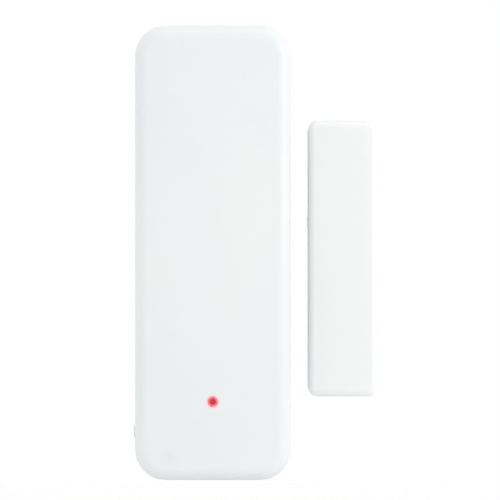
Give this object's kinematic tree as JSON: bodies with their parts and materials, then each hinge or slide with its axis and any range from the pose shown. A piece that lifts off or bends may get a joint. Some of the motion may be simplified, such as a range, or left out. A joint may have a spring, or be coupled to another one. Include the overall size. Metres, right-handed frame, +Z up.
{
  "type": "door contact sensor",
  "caption": "Slim rounded door sensor with indicator light and side button, cells and reed switch inside, beside a separate bar-shaped magnet unit.",
  "frame": {"origin": "centre of the sensor's adhesive pad, on the wall or door frame", "axes": "+Z up along the sensor's length, +X towards the magnet unit, +Y into the wall"},
  "size_m": [0.0382, 0.0174, 0.071],
  "materials": {
    "shell_white": "fine satin texture",
    "base_white": "satin",
    "foam_tape": "closed-cell foam",
    "clear_pipe": "clear",
    "led_red": "clear epoxy",
    "circuit_board": "solder mask",
    "module_board": "solder mask",
    "zinc_steel": "zinc plated",
    "holder_plastic": "satin",
    "cell_jacket": "printed jacket",
    "nickel_steel": "nickel plated",
    "gold_copper": "gold plated",
    "can_aluminium": "sleeved can",
    "black_plastic": "moulded",
    "reed_glass": "clear",
    "reed_alloy": "tinned",
    "ferrite": "pressed and ground",
    "component_ceramic": "fired",
    "resistor_ceramic": "coated"
  },
  "bodies": {
    "wall_base": {"base_plate": "base_white", "adhesive_pad": "foam_tape", "base_snap_hooks": "base_white"},
    "sensor_unit": {"front_shell": "shell_white", "light_pipe": "clear_pipe", "status_led": "led_red", "tact_switch_body": "black_plastic", "tact_switch_frame": "nickel_steel", "main_board": "circuit_board", "board_screws": "zinc_steel", "battery_frame": "holder_plastic", "battery_left": "cell_jacket", "battery_right": "cell_jacket", "link_contact": "nickel_steel", "negative_contact": "nickel_steel", "positive_contact": "nickel_steel", "negative_spring": "nickel_steel", "link_spring": "nickel_steel", "reed_switch_glass": "reed_glass", "reed_lead_lower": "reed_alloy", "reed_lead_upper": "reed_alloy", "radio_module_board": "module_board", "radio_shield": "nickel_steel", "radio_chip": "black_plastic", "radio_antenna": "gold_copper", "capacitor_base": "black_plastic", "capacitor_can": "can_aluminium", "controller_chip": "black_plastic", "crystal": "nickel_steel", "inductor": "ferrite", "regulator": "black_plastic", "resistors": "resistor_ceramic", "small_capacitors": "component_ceramic"},
    "reset_button": {"reset_button_cap": "shell_white", "tact_switch_plunger": "black_plastic"},
    "reed_blade": {"reed_moving_blade": "reed_alloy"},
    "magnet_base": {"magnet_base_plate": "base_white", "magnet_adhesive_pad": "foam_tape", "magnet_snap_hooks": "base_white", "bar_magnet": "ferrite"},
    "magnet_cover": {"magnet_cap": "shell_white"}
  },
  "joints": [
    {"name": "unit_pull_off", "type": "slide", "parent": "wall_base", "child": "sensor_unit", "axis": [0, -1, 0], "range_m": [0, 0.035], "deforming": ["base_snap_hooks"]},
    {"name": "button_press", "type": "slide", "parent": "sensor_unit", "child": "reset_button", "axis": [1, 0, 0], "range_m": [0, 0.0003], "stiffness_N_per_m": 3000, "springref_m": -0.0001},
    {"name": "magnet_travel", "type": "slide", "parent": "wall_base", "child": "magnet_base", "axis": [1, 0, 0], "range_m": [0, 0.06]},
    {"name": "magnet_cap_pull_off", "type": "slide", "parent": "magnet_base", "child": "magnet_cover", "axis": [0, -1, 0], "range_m": [0, 0.02], "deforming": ["magnet_snap_hooks"]},
    {"name": "reed_flex", "type": "hinge", "parent": "sensor_unit", "child": "reed_blade", "pos_m": [0.0091, -0.01375, 0.01], "axis": [1, 0, 0], "range_deg": [0, 1.4]}
  ],
  "couplings": [
    {"joint": "reed_flex", "follows": "magnet_travel", "rad_per_m": 0.4}
  ]
}
